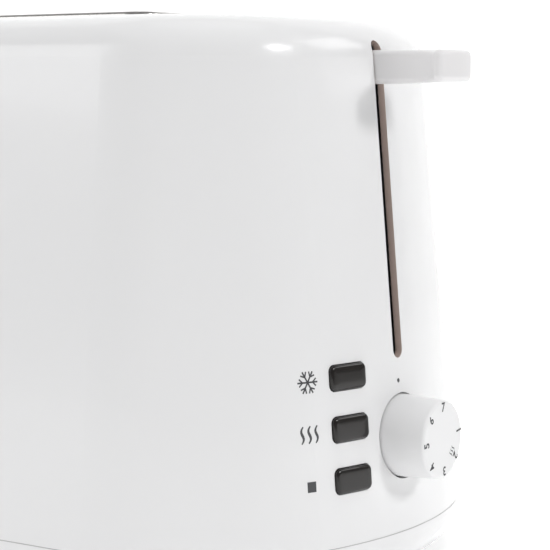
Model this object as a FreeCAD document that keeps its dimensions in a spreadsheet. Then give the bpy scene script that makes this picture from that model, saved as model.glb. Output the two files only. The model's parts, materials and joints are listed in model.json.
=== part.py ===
"""Two-slot pop up toaster, modelled in millimetres.

X runs towards the end with the lever and the knob, -Y is the front and Z is up. Z = 0 is the plane that
the rubber feet stand on. The plan centre of the housing lies at X = body_x, so that the origin is below
the middle of the whole toaster with its lever. Every sub-part is drawn about the housing's own plan
centre and its Placement then moves it by body_x.
"""
import FreeCAD, Part
import math
import os
import re
import Sketcher

DIMENSIONS = (
    ("body_x", -8.8, "plan centre of the housing, along X"),
    # housing
    ("half_length", 146.2, "half length at the seam"),
    ("half_width", 90, "half width at the seam"),
    ("end_radius", 137.6, "plan radius of each end"),
    ("corner_radius", 67, "plan radius of each corner"),
    ("pan_bottom", 3, "underside of the base pan"),
    ("seam_z", 17, "joint between base pan and housing shell"),
    ("top_z", 190, "top of the housing shell"),
    ("wall", 2.5, "moulded wall thickness"),
    ("draft", 4.9, "lean of the housing walls, degrees"),
    ("top_fillet", 15, "radius of the top edge"),
    ("pan_fillet", 12, "radius under the base pan"),
    ("opening_x", 148, "length of the opening in the top"),
    ("opening_y", 92, "width of the opening in the top"),
    ("opening_fillet", 8, "corner radius of the opening in the top"),
    # bread slots, racks and guides
    ("slot_y", 27, "bread slot centre from the middle plane"),
    ("slot_length", 130, "bread slot length"),
    ("slot_width", 30, "bread slot width"),
    ("frame_z", 186.2, "underside of the slot frame"),
    ("frame_sheet", 1.2, "slot frame sheet"),
    ("lip_depth", 12, "depth of the lip round each bread slot"),
    ("rack_z", 126, "top of the bread racks, carriage up"),
    ("rack_bar", 8, "height of a bread rack bar"),
    ("rack_tooth", 22, "width of a bread rack tooth"),
    ("guide_half", 16, "bread guide wires from the slot centre"),
    ("guide_wire", 1.6, "bread guide wire diameter"),
    ("guide_low_z", 34, "pivot wire of the bread guides"),
    ("guide_high_z", 166, "top wire of the bread guides"),
    ("guide_pitch", 20, "spacing of the guide wires"),
    # chassis
    ("chassis_x", 80, "inside of each end plate from the centre"),
    ("chassis_y", 56, "half width of the end plates"),
    ("chassis_low_z", 13, "foot of the end plates"),
    ("chassis_high_z", 178, "top of the end plates"),
    ("sheet", 0.8, "chassis sheet"),
    ("reflector_y", 54.5, "inside of each reflector"),
    ("reflector_low_z", 20, "foot of the reflectors"),
    # heaters
    ("mica", 0.8, "heater board thickness"),
    ("mica_y", 48, "inside face of the outer heater boards"),
    ("mica_low_z", 40, "foot of the heater boards"),
    ("mica_height", 112, "height of the heater boards"),
    ("ribbon", 0.3, "heater ribbon thickness"),
    ("ribbon_height", 1.6, "heater ribbon width"),
    ("ribbon_pitch", 9, "spacing of the heater ribbon"),
    # carriage and lever
    ("bracket_x", 84, "inside of the carriage bracket"),
    ("lever_z", 173.2, "middle of the lever, carriage up"),
    ("lever_root_x", 120, "inner end of the lever handle"),
    ("lever_tip_x", 163.9, "outer end of the lever handle"),
    ("lever_neck", 5.0, "width of the lever neck"),
    ("lever_thick", 11.3, "height of the lever handle"),
    ("lever_flare_x", 153.5, "where the lever neck opens out"),
    ("lever_flare_r", 15, "hollow radius between neck and paddle"),
    ("lever_corner_y", 13, "half width of the paddle at its corners"),
    ("lever_end_r", 40, "plan radius of the paddle's end"),
    ("lever_edge_r", 2, "rounding of the lever's edges"),
    ("lever_high_taper", 0.2, "thinning of the paddle's upper face"),
    ("lever_low_taper", 0.8, "thinning of the paddle's lower face"),
    ("lever_slot", 5.8, "width of the lever slot"),
    ("lever_slot_low_z", 75.6, "foot of the lever slot"),
    ("lever_slot_high_z", 182.2, "top of the lever slot"),
    ("stem_x", 150, "outer end of the lever stem"),
    ("stem_thick", 2, "lever stem thickness"),
    ("stem_height", 6, "lever stem height"),
    ("rod_x", 92, "guide rod centre, along X"),
    ("rod_y", 15, "guide rod centre, along Y"),
    ("rod_radius", 2, "guide rod radius"),
    ("rod_play", 0.06, "radial play of the carriage on its rod"),
    ("keeper_z", 122, "underside of the latch keeper, carriage up"),
    ("spring_r", 4, "lift spring radius"),
    ("travel", 88, "drop of the carriage"),
    # controls
    ("board_x", 112, "inner face of the control board"),
    ("knob_z", 49.3, "browning knob axis height"),
    ("knob_inner_x", 138.3, "inner end of the knob"),
    ("knob_outer_x", 158.7, "outer face of the knob"),
    ("knob_base_r", 14.2, "knob radius at its inner end"),
    ("knob_face_r", 13.15, "knob radius at its face"),
    ("knob_gap", 0.3, "gap round the knob"),
    ("button_angle", 77.8, "turn of the button face from the front, degrees"),
    ("button_z", 55.6, "middle button height"),
    ("button_pitch", 16.85, "spacing of the buttons"),
    ("button_w", 16.2, "button width"),
    ("button_h", 8.3, "button height"),
    ("button_r", 2, "button corner radius"),
    ("button_gap", 0.3, "gap round a button"),
    ("button_proud", 1.1, "button face above the housing"),
    # base
    ("tray_x", 148, "crumb tray length"),
    ("tray_front_y", -52, "front edge of the crumb tray"),
    ("tray_low_z", 6, "underside of the crumb tray"),
    ("tray_high_z", 14, "rim of the crumb tray"),
    ("foot_x", 110, "rubber foot from the centre, along X"),
    ("foot_y", 44, "rubber foot from the centre, along Y"),
    ("foot_r", 7, "rubber foot radius"),
    ("screw_x", 92, "base screw from the centre, along X"),
    ("screw_y", 60, "base screw from the centre, along Y"),
    ("rib_end_y", 85, "end of each screw post's rib, inside the wall"),
    ("screw_r", 1.6, "screw shank radius"),
    ("gland_x", -70, "mains lead bush, along X"),
    ("gland_z", 27, "mains lead bush height"),
    ("gland_bore_r", 4, "radius of the mains lead's way through its bush"),
    # warming rack
    ("wire_r", 1.2, "warming rack wire radius"),
    ("wire_z", 190.7, "warming rack wire height, folded"),
    ("wire_x", 67.5, "warming rack leg from the centre"),
    ("wire_y", 44, "warming rack bar from the middle plane"),
    ("pivot_y", 15, "warming rack pivot from the middle plane"),
    ("pivot_x", 72.6, "end of the warming rack pivot"),
)

doc = FreeCAD.newDocument("toaster")
sheet = doc.addObject("Spreadsheet::Sheet", "Dims")
for row, (alias, value, note) in enumerate(DIMENSIONS, 1):
    sheet.set(f"A{row}", note)
    sheet.set(f"B{row}", str(value))
    sheet.setAlias(f"B{row}", alias)
doc.recompute()

ALIASES = {alias for alias, _, _ in DIMENSIONS}
NODES = []


def dims(text):
    """An expression over the sheet: each alias gets the sheet's name in front."""
    return re.sub(r"[a-z_]+", lambda m: f"Dims.{m[0]}" if m[0] in ALIASES else m[0], str(text))


def val(text):
    """The number that an expression over the sheet gives."""
    return float(sheet.evalExpression(dims(text)))


def vec(x, y, z=0):
    return FreeCAD.Vector(x, y, z)


def node(obj, label):
    """Names a finished sub-part and moves it from the housing's centre to its place."""
    obj.Label = label
    bound = [text for path, text in obj.ExpressionEngine if path.endswith("Placement.Base.x")]
    start = bound[0] if bound else obj.Placement.Base.x
    obj.setExpression("Placement.Base.x", f"Dims.body_x + ({start})")
    NODES.append(obj)
    return obj


# --- Part primitives and booleans -------------------------------------------------------------------

def bind_place(obj, x, y, z):
    for axis, text in zip("xyz", (x, y, z)):
        obj.setExpression(f"Placement.Base.{axis}", dims(text))
    return obj


def box(x, y, z, length, width, height):
    """A block with its lowest corner at x, y, z."""
    obj = doc.addObject("Part::Box", "Block")
    for name, text in (("Length", length), ("Width", width), ("Height", height)):
        obj.setExpression(name, dims(text))
    return bind_place(obj, x, y, z)


TURNS = {
    "x": FreeCAD.Rotation(vec(0, 1, 0), 90),
    "y": FreeCAD.Rotation(vec(1, 0, 0), -90),
    "z": FreeCAD.Rotation(),
}


def rod(axis, x, y, z, radius, length):
    """A round bar that starts at x, y, z and runs along an axis."""
    obj = doc.addObject("Part::Cylinder", "Rod")
    obj.setExpression("Radius", dims(radius))
    obj.setExpression("Height", dims(length))
    obj.Placement = FreeCAD.Placement(vec(0, 0), TURNS[axis])
    return bind_place(obj, x, y, z)


def fuse(*parts):
    obj = doc.addObject("Part::MultiFuse", "Joined")
    obj.Shapes = list(parts)
    obj.Refine = True
    return obj


def cut(base, *tools):
    obj = doc.addObject("Part::Cut", "Trimmed")
    obj.Base = base
    obj.Tool = tools[0] if len(tools) == 1 else fuse(*tools)
    return obj


def group(*parts):
    """Separate solids that share one sub-part."""
    obj = doc.addObject("Part::Compound", "Group")
    obj.Links = list(parts)
    return obj


# --- PartDesign -------------------------------------------------------------------------------------

def new_body(name):
    return doc.addObject("PartDesign::Body", name.title().replace("_", ""))


def new_sketch(body, role, offset="0"):
    """A sketch on one of the body's own origin planes, moved along its normal."""
    sketch = body.newObject("Sketcher::SketchObject", body.Name + "Sketch")
    plane = next(item for item in body.Origin.OriginFeatures if item.Role == role)
    sketch.AttachmentSupport = (plane, "")
    sketch.MapMode = "FlatFace"
    sketch.setExpression("AttachmentOffset.Base.z", dims(offset))
    return sketch


def constrain(sketch, kind, *items):
    """Adds a constraint; a text in last place is an expression that drives it."""
    if isinstance(items[-1], str):
        number = sketch.addConstraint(Sketcher.Constraint(kind, *items[:-1], val(items[-1])))
        sketch.setExpression(f"Constraints[{number}]", dims(items[-1]))
    else:
        sketch.addConstraint(Sketcher.Constraint(kind, *items))


def arc(centre, radius, start, end):
    circle = Part.Circle(vec(*centre), vec(0, 0, 1), radius)
    return Part.ArcOfCircle(circle, math.radians(start), math.radians(end))


def sketch_circle(sketch, x, y, radius):
    first = sketch.addGeometry(Part.Circle(vec(val(x), val(y)), vec(0, 0, 1), val(radius)))
    constrain(sketch, "Radius", first, radius)
    constrain(sketch, "DistanceX", -1, 1, first, 3, x)
    constrain(sketch, "DistanceY", -1, 1, first, 3, y)


def sketch_rect(sketch, x, y, width, height):
    """A rectangle about the centre x, y."""
    left = val(x) - val(width) / 2
    low = val(y) - val(height) / 2
    right = left + val(width)
    high = low + val(height)
    corners = [vec(left, low), vec(right, low), vec(right, high), vec(left, high)]
    first = sketch.GeometryCount
    for i in range(4):
        sketch.addGeometry(Part.LineSegment(corners[i], corners[(i + 1) % 4]))
    for i in range(4):
        constrain(sketch, "Coincident", first + i, 2, first + (i + 1) % 4, 1)
        constrain(sketch, ("Horizontal", "Vertical")[i % 2], first + i)
    constrain(sketch, "DistanceX", first, 1, first, 2, str(width))
    constrain(sketch, "DistanceY", first + 1, 1, first + 1, 2, str(height))
    constrain(sketch, "DistanceX", -1, 1, first, 1, f"({x}) - ({width}) / 2")
    constrain(sketch, "DistanceY", -1, 1, first, 1, f"({y}) - ({height}) / 2")


def sketch_round_rect(sketch, x, y, width, height, radius):
    """A rectangle about the centre x, y with four round corners."""
    r = val(radius)
    cx, cy = val(width) / 2 - r, val(height) / 2 - r
    middle = vec(val(x), val(y))
    first = sketch.GeometryCount
    sides = (((-cx, -cy - r), (cx, -cy - r)), ((cx + r, -cy), (cx + r, cy)),
             ((cx, cy + r), (-cx, cy + r)), ((-cx - r, cy), (-cx - r, -cy)))
    turns = ((cx, -cy), (cx, cy), (-cx, cy), (-cx, -cy))
    for i in range(4):
        start, end = sides[i]
        centre = middle + vec(*turns[i])
        sketch.addGeometry(Part.LineSegment(middle + vec(*start), middle + vec(*end)))
        sketch.addGeometry(arc((centre.x, centre.y), r, 270 + 90 * i, 360 + 90 * i))
    for i in range(8):
        constrain(sketch, "Tangent", first + i, 2, first + (i + 1) % 8, 1)
    for i in range(2):
        constrain(sketch, "Horizontal", first + 4 * i)
        constrain(sketch, "Vertical", first + 4 * i + 2)
    for i in (3, 5):
        constrain(sketch, "Equal", first + 1, first + i)
    constrain(sketch, "Radius", first + 1, radius)
    constrain(sketch, "DistanceX", first, 1, first, 2, f"{width} - 2 * ({radius})")
    constrain(sketch, "DistanceY", first + 2, 1, first + 2, 2, f"{height} - 2 * ({radius})")
    constrain(sketch, "DistanceX", -1, 1, first, 1, f"({x}) - ({width}) / 2 + ({radius})")
    constrain(sketch, "DistanceY", -1, 1, first + 2, 1, f"({y}) - ({height}) / 2 + ({radius})")


def sketch_slot(sketch, x, low, high, width):
    """An upright slot with round ends between the heights low and high."""
    r = val(width) / 2
    cx, y0, y1 = val(x), val(low) + r, val(high) - r
    first = sketch.addGeometry(arc((cx, y0), r, 180, 360))
    sketch.addGeometry(Part.LineSegment(vec(cx + r, y0), vec(cx + r, y1)))
    sketch.addGeometry(arc((cx, y1), r, 0, 180))
    sketch.addGeometry(Part.LineSegment(vec(cx - r, y1), vec(cx - r, y0)))
    constrain(sketch, "Tangent", first, 2, first + 1, 1)
    constrain(sketch, "Tangent", first + 1, 2, first + 2, 1)
    constrain(sketch, "Tangent", first + 2, 2, first + 3, 1)
    constrain(sketch, "Tangent", first + 3, 2, first, 1)
    constrain(sketch, "Equal", first, first + 2)
    constrain(sketch, "Vertical", first + 1)
    constrain(sketch, "Radius", first, f"({width}) / 2")
    constrain(sketch, "DistanceX", -1, 1, first, 3, x)
    constrain(sketch, "DistanceY", -1, 1, first, 3, f"({low}) + ({width}) / 2")
    constrain(sketch, "DistanceY", -1, 1, first + 2, 3, f"({high}) - ({width}) / 2")


def sketch_outline(sketch, inset):
    """The housing's plan: two flat sides, four round corners and two gently round ends."""
    r_end = val(f"end_radius - ({inset})")
    r_corner = val(f"corner_radius - ({inset})")
    half_y = val(f"half_width - ({inset})")
    end_x = val("half_length - end_radius")
    lean = math.acos((half_y - r_corner) / (r_end - r_corner))
    turn = 90 - math.degrees(lean)
    cx = end_x + (r_end - r_corner) * math.sin(lean)
    cy = (r_end - r_corner) * math.cos(lean)
    sketch.addGeometry(Part.LineSegment(vec(-cx, -half_y), vec(cx, -half_y)))
    sketch.addGeometry(arc((cx, -cy), r_corner, 270, 360 - turn))
    sketch.addGeometry(arc((end_x, 0), r_end, -turn, turn))
    sketch.addGeometry(arc((cx, cy), r_corner, turn, 90))
    sketch.addGeometry(Part.LineSegment(vec(cx, half_y), vec(-cx, half_y)))
    sketch.addGeometry(arc((-cx, cy), r_corner, 90, 180 - turn))
    sketch.addGeometry(arc((-end_x, 0), r_end, 180 - turn, 180 + turn))
    sketch.addGeometry(arc((-cx, -cy), r_corner, 180 + turn, 270))
    for i in range(8):
        constrain(sketch, "Tangent", i, 2, (i + 1) % 8, 1)
    constrain(sketch, "Horizontal", 0)
    constrain(sketch, "Horizontal", 4)
    for end in (2, 6):
        constrain(sketch, "PointOnObject", end, 3, -1)
    constrain(sketch, "Equal", 2, 6)
    for corner in (3, 5, 7):
        constrain(sketch, "Equal", 1, corner)
    constrain(sketch, "Radius", 2, f"end_radius - ({inset})")
    constrain(sketch, "Radius", 1, f"corner_radius - ({inset})")
    constrain(sketch, "DistanceY", 0, 1, -1, 1, f"half_width - ({inset})")
    constrain(sketch, "DistanceY", -1, 1, 4, 1, f"half_width - ({inset})")
    constrain(sketch, "DistanceX", -1, 1, 2, 3, "half_length - end_radius")
    constrain(sketch, "DistanceX", 6, 3, -1, 1, "half_length - end_radius")


def feature(body, kind, sketch, length, taper="0", reverse=False):
    """A Pad or a Pocket of a sketch; its volume must change the body the right way."""
    before = body.Shape.Volume if body.Tip else 0
    item = body.newObject(f"PartDesign::{kind}", body.Name + kind)
    item.Profile = sketch
    item.setExpression("Length", dims(length))
    if val(taper):
        item.setExpression("TaperAngle", dims(taper))
    item.Reversed = reverse
    doc.recompute()
    change = body.Shape.Volume - before
    if (change > 0) != (kind == "Pad") or abs(change) < 1:
        raise ValueError(f"{item.Name} changes the volume by {change:.2f}")
    return item


def fillet(body, radius, wanted):
    """Rounds the body's edges that a test picks out."""
    doc.recompute()
    base = body.Tip
    names = [f"Edge{i}" for i, edge in enumerate(base.Shape.Edges, 1) if wanted(edge)]
    item = body.newObject("PartDesign::Fillet", body.Name + "Fillet")
    item.Base = (base, names)
    item.setExpression("Radius", dims(radius))
    doc.recompute()
    return item


def take_away(body, hollow):
    """Cuts one body's solid out of another body."""
    item = body.newObject("PartDesign::Boolean", body.Name + "Hollow")
    item.Type = "Cut"
    item.setObjects([hollow])
    doc.recompute()


def level(z):
    """Picks the edges that lie flat at one height."""
    height = val(z)
    return lambda edge: abs(edge.BoundBox.ZMin - height) < 1e-3 and abs(edge.BoundBox.ZMax - height) < 1e-3


def upright(edge):
    """Picks the straight edges that stand along Z."""
    box_ = edge.BoundBox
    return box_.XLength < 1e-6 and box_.YLength < 1e-6


def button_frame():
    """Where the middle button's face plane touches the leaning wall, and how it is turned."""
    radius = val("end_radius - (button_z - seam_z) * tan(draft)")
    angle = math.radians(val("button_angle"))
    base = vec(val("half_length - end_radius") + radius * math.sin(angle), -radius * math.cos(angle))
    base.z = val("button_z")
    turn = FreeCAD.Rotation(vec(0, 0, 1), val("button_angle"))
    return FreeCAD.Placement(base, turn * FreeCAD.Rotation(vec(1, 0, 0), 90 - val("draft")))


BUTTONS = (("button_defrost", "button_pitch"), ("button_reheat", "0"), ("button_stop", "-button_pitch"))


# --- Housing ----------------------------------------------------------------------------------------

def housing_shell():
    """The moulded cover, open underneath, with its openings and screw posts."""
    body = new_body("housing_shell")
    outer = new_sketch(body, "XY_Plane", "seam_z")
    sketch_outline(outer, "0")
    feature(body, "Pad", outer, "top_z - seam_z", "-draft")
    fillet(body, "top_fillet", level("top_z"))
    hollow = new_body("housing_hollow")
    inner = new_sketch(hollow, "XY_Plane", "seam_z")
    sketch_outline(inner, "wall")
    feature(hollow, "Pad", inner, "top_z - wall - seam_z", "-draft")
    fillet(hollow, "top_fillet - wall", level("top_z - wall"))
    take_away(body, hollow)
    top = new_sketch(body, "XY_Plane", "top_z")
    sketch_round_rect(top, "0", "0", "opening_x", "opening_y", "opening_fillet")
    feature(body, "Pocket", top, "2 * wall")
    lever = new_sketch(body, "YZ_Plane", "half_length")
    sketch_slot(lever, "0", "lever_slot_low_z", "lever_slot_high_z", "lever_slot")
    feature(body, "Pocket", lever, "25")
    knob = new_sketch(body, "YZ_Plane", "half_length")
    sketch_circle(knob, "0", "knob_z", "knob_base_r + knob_gap")
    feature(body, "Pocket", knob, "10")
    windows = new_sketch(body, "XY_Plane")
    windows.AttachmentOffset = button_frame()
    windows.setExpression("AttachmentOffset.Base.z", dims("button_z"))
    for _, rise in BUTTONS:
        sketch_round_rect(windows, "0", rise, "button_w + 2 * button_gap", "button_h + 2 * button_gap",
                          "button_r + button_gap")
    feature(body, "Pocket", windows, "8")
    cord = new_sketch(body, "XZ_Plane", "-half_width - 1")
    sketch_circle(cord, "gland_x", "gland_z", "gland_bore_r + 1.7")
    feature(body, "Pocket", cord, "6", reverse=True)
    posts = new_sketch(body, "XY_Plane", "seam_z")
    for sx in (-1, 1):
        for sy in (-1, 1):
            sketch_circle(posts, f"{sx} * screw_x", f"{sy} * screw_y", "4.5")
    for sx in (-1, 1):
        for sy in (-1, 1):
            sketch_rect(posts, f"{sx} * screw_x", f"{sy} * (screw_y + 4.2 + rib_end_y) / 2", "wall",
                        "rib_end_y - screw_y - 4.2")
    feature(body, "Pad", posts, "14")
    bores = new_sketch(body, "XY_Plane", "seam_z")
    for sx in (-1, 1):
        for sy in (-1, 1):
            sketch_circle(bores, f"{sx} * screw_x", f"{sy} * screw_y", "screw_r")
    feature(body, "Pocket", bores, "11", reverse=True)
    node(body, "housing_shell")


def base_pan():
    """The tray under the seam, with rounded sides and the crumb tray's opening at the rear."""
    body = new_body("base_pan")
    outer = new_sketch(body, "XY_Plane", "pan_bottom")
    sketch_outline(outer, "0")
    feature(body, "Pad", outer, "seam_z - pan_bottom")
    fillet(body, "pan_fillet", level("pan_bottom"))
    hollow = new_body("pan_hollow")
    inner = new_sketch(hollow, "XY_Plane", "pan_bottom + wall")
    sketch_outline(inner, "wall")
    feature(hollow, "Pad", inner, "seam_z - pan_bottom")
    fillet(hollow, "pan_fillet - wall", level("pan_bottom + wall"))
    take_away(body, hollow)
    rear = new_sketch(body, "XZ_Plane", "-half_width - 1")
    sketch_rect(rear, "0", "(tray_low_z + seam_z) / 2", "tray_x + 1.2", "seam_z - tray_low_z + 0.8")
    feature(body, "Pocket", rear, "16", reverse=True)
    vents = new_sketch(body, "XY_Plane", "pan_bottom + wall")
    for i in range(-3, 4):
        sketch_rect(vents, f"{i} * 18", "0", "4", "70")
    feature(body, "Pocket", vents, "wall + 1")
    spots = [(f"{sx} * (chassis_x + 7)", f"{sy} * 40", "chassis_low_z") for sx in (-1, 1) for sy in (-1, 1)]
    spots += [(f"{sx} * screw_x", f"{sy} * screw_y", "seam_z") for sx in (-1, 1) for sy in (-1, 1)]
    for height in ("chassis_low_z", "seam_z"):
        posts = new_sketch(body, "XY_Plane", "pan_bottom + wall")
        for x, y, _ in (spot for spot in spots if spot[2] == height):
            sketch_circle(posts, x, y, "4.5")
        feature(body, "Pad", posts, f"{height} - pan_bottom - wall")
    for x, y, high in spots:
        bore = new_sketch(body, "XY_Plane", high)
        sketch_circle(bore, x, y, "screw_r")
        through = high == "seam_z"
        feature(body, "Pocket", bore, "seam_z - pan_bottom + 1" if through else "8")
    heads = new_sketch(body, "XY_Plane", "pan_bottom")
    for sx in (-1, 1):
        for sy in (-1, 1):
            sketch_circle(heads, f"{sx} * screw_x", f"{sy} * screw_y", "3.4")
    feature(body, "Pocket", heads, "2.4", reverse=True)
    node(body, "base_pan")


def feet_and_screws():
    feet = []
    screws = []
    chassis = []
    for sx in (-1, 1):
        for sy in (-1, 1):
            feet.append(rod("z", f"{sx} * foot_x", f"{sy} * foot_y", "0", "foot_r", "pan_bottom"))
            x, y = f"{sx} * screw_x", f"{sy} * screw_y"
            head = rod("z", x, y, "pan_bottom + 0.2", "3.2", "2.2")
            screws.append(fuse(head, rod("z", x, y, "pan_bottom + 2.4", "screw_r", "22")))
            x, y = f"{sx} * (chassis_x + 7)", f"{sy} * 40"
            head = rod("z", x, y, "chassis_low_z + sheet", "3.2", "2")
            chassis.append(fuse(head, rod("z", x, y, "chassis_low_z - 7", "screw_r", "7 + sheet")))
    node(group(*feet), "rubber_feet")
    node(group(*screws), "base_screws")
    node(group(*chassis), "chassis_screws")


def crumb_tray():
    """A shallow sheet tray with a moulded grip that closes the opening in the base pan."""
    depth = "half_width - wall - 4.2 - tray_front_y"
    outer = box("-tray_x / 2", "tray_front_y", "tray_low_z", "tray_x", depth, "tray_high_z - tray_low_z")
    hollow = box("-tray_x / 2 + sheet", "tray_front_y + sheet", "tray_low_z + sheet",
                 "tray_x - 2 * sheet", f"{depth} - 2 * sheet", "tray_high_z - tray_low_z")
    node(cut(outer, hollow), "crumb_tray")
    body = new_body("crumb_tray_grip")
    profile = new_sketch(body, "YZ_Plane", "-tray_x / 2")
    cy = val("half_width - pan_fillet")
    cz = val("pan_bottom + pan_fillet")
    r = val("pan_fillet")
    low = val("tray_low_z")
    high = val("seam_z - 0.5")
    start = math.degrees(math.asin((low - cz) / r))
    corner = vec(cy + r * math.cos(math.radians(start)), low)
    inner = min(val("half_width - wall - 1"), corner.x - 2.5)
    lines = [
        arc((cy, cz), r, start, 0),
        Part.LineSegment(vec(cy + r, cz), vec(cy + r, high)),
        Part.LineSegment(vec(cy + r, high), vec(inner, high)),
        Part.LineSegment(vec(inner, high), vec(inner, low)),
        Part.LineSegment(vec(inner, low), corner),
    ]
    for item in lines:
        profile.addGeometry(item)
    for i in range(5):
        constrain(profile, "Coincident", i, 2, (i + 1) % 5, 1)
    constrain(profile, "Radius", 0, "pan_fillet")
    constrain(profile, "DistanceX", -1, 1, 0, 3, "half_width - pan_fillet")
    constrain(profile, "DistanceY", -1, 1, 0, 3, "pan_bottom + pan_fillet")
    constrain(profile, "Vertical", 1)
    constrain(profile, "Horizontal", 2)
    constrain(profile, "Vertical", 3)
    constrain(profile, "Horizontal", 4)
    feature(body, "Pad", profile, "tray_x")
    node(body, "crumb_tray_grip")


def slot_frame():
    """The sheet-steel frame round the bread slots, with a lip down into each."""
    plate = box("-opening_x / 2 - 4", "-opening_y / 2 - 4", "frame_z",
                "opening_x + 8", "opening_y + 8", "frame_sheet")
    lips = []
    holes = []
    for side in (-1, 1):
        low_y = f"{side} * slot_y - slot_width / 2"
        lips.append(box("-slot_length / 2 - sheet", f"{low_y} - sheet", "frame_z - lip_depth",
                        "slot_length + 2 * sheet", "slot_width + 2 * sheet", "lip_depth"))
        holes.append(box("-slot_length / 2", low_y, "frame_z - lip_depth - 1",
                         "slot_length", "slot_width", "lip_depth + frame_sheet + 2"))
    node(cut(fuse(plate, *lips), *holes), "slot_frame")


# --- Chassis and heaters ----------------------------------------------------------------------------

def end_plates():
    """The two steel end plates, with a foot flange and an upright slot for each bread rack."""
    for label, side in (("end_plate_left", -1), ("end_plate_right", 1)):
        x = "chassis_x" if side > 0 else "-chassis_x - sheet"
        foot_x = "chassis_x" if side > 0 else "-chassis_x - 12"
        plate = box(x, "-chassis_y", "chassis_low_z",
                    "sheet", "2 * chassis_y", "chassis_high_z - chassis_low_z")
        flange = box(foot_x, "-chassis_y + 10", "chassis_low_z", "12", "2 * chassis_y - 20", "sheet")
        pieces = [plate, flange]
        if side > 0:
            pieces.append(box("chassis_x", "-24", "chassis_high_z - sheet", "18", "48", "sheet"))
            pieces.append(box("chassis_x", "-24", "chassis_low_z", "18", "48", "sheet"))
        cuts = [box(f"{x} - 1", f"{row} * slot_y - 3", "rack_z - travel - rack_bar - 3", "sheet + 2", "6",
                    "travel + rack_bar + 6") for row in (-1, 1)]
        for sy in (-1, 1):
            x = f"{side} * (chassis_x + 7)"
            cuts.append(rod("z", x, f"{sy} * 40", "chassis_low_z - 1", "screw_r", "4"))
        node(cut(fuse(*pieces), *cuts), label)


def reflectors():
    for label, y in (("reflector_front", "-reflector_y - sheet"), ("reflector_rear", "reflector_y")):
        plate = box("-chassis_x", y, "reflector_low_z",
                    "2 * chassis_x", "sheet", "chassis_high_z - reflector_low_z")
        node(plate, label)


def heaters():
    """Mica boards and the resistance ribbon that crosses their faces in level rows."""
    rows = int(val("mica_height / ribbon_pitch"))
    for label, y, faces in (
        ("front", "-mica_y - mica", ("-mica_y",)),
        ("centre", "-mica / 2", ("-mica / 2 - ribbon", "mica / 2")),
        ("rear", "mica_y", ("mica_y - ribbon",)),
    ):
        board = box("-chassis_x", y, "mica_low_z", "2 * chassis_x", "mica", "mica_height")
        node(board, f"heater_board_{label}")
        strips = []
        for face in faces:
            for i in range(rows):
                z = f"mica_low_z + ribbon_pitch * {i + 0.5}"
                strips.append(box("-chassis_x + 6", face, z, "2 * chassis_x - 12", "ribbon", "ribbon_height"))
        node(group(*strips), f"heater_ribbon_{label}")


def bread_guides():
    """Four wire cages, each with a pivot wire at its foot."""
    for row, name in ((-1, "front"), (1, "rear")):
        for side, place in ((row, "outer"), (-row, "inner")):
            y = f"{row} * slot_y + {side} * guide_half"
            wires = [
                rod("x", "-chassis_x + 0.6", y, "guide_low_z", "guide_wire / 2", "2 * chassis_x - 1.2"),
                rod("x", "-guide_pitch * 3.2", y, "guide_high_z", "guide_wire / 2", "guide_pitch * 6.4"),
            ]
            for i in range(-3, 4):
                wires.append(rod("z", f"{i} * guide_pitch", y, "guide_low_z", "guide_wire / 2",
                                 "guide_high_z - guide_low_z"))
            node(fuse(*wires), f"bread_guide_{name}_{place}")


# --- Carriage ---------------------------------------------------------------------------------------

def carriage():
    """The sliding plate, the two toothed racks and what hangs on them."""
    plate = box("bracket_x", "-34", "keeper_z", "1.2", "68", "lever_z + stem_height / 2 - keeper_z")
    sleeve = rod("z", "rod_x", "rod_y", "keeper_z", "rod_radius + 2", "24")
    web = box("bracket_x", "rod_y - 2", "keeper_z", "rod_x - bracket_x", "4", "24")
    bore = rod("z", "rod_x", "rod_y", "keeper_z - 1", "rod_radius + rod_play", "60")
    hook = box("bracket_x", "-rod_y - 3", "keeper_z + 8", "12", "6", "1.2")
    relief = [box("bracket_x - 1", f"{side} * 22 - 7", "keeper_z + 18", "4", "14", "24") for side in (-1, 1)]
    node(cut(fuse(plate, sleeve, web, hook), bore, *relief), "carriage_bracket")
    for row, label in ((-1, "bread_rack_front"), (1, "bread_rack_rear")):
        y = f"{row} * slot_y"
        bar = box("-bracket_x", f"{y} - 0.6", "rack_z - rack_bar", "2 * bracket_x", "1.2", "rack_bar")
        teeth = [box(f"{i} * guide_pitch + guide_pitch / 2 - 0.6", f"{y} - rack_tooth / 2", "rack_z - 4",
                     "1.2", "rack_tooth", "4") for i in range(-3, 4)]
        node(fuse(bar, *teeth), label)
    node(box("bracket_x + 1.2", "-stem_thick / 2", "lever_z - stem_height / 2",
             "stem_x - bracket_x - 1.2", "stem_thick", "stem_height"), "lever_stem")
    arm = box("bracket_x + 1.2", "rod_y + 5", "keeper_z", "108 - bracket_x - 1.2", "9", "1.2")
    tongue = box("100", "rod_y - 3", "keeper_z", "8", "17", "1.2")
    node(fuse(arm, tongue), "latch_keeper")


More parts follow.
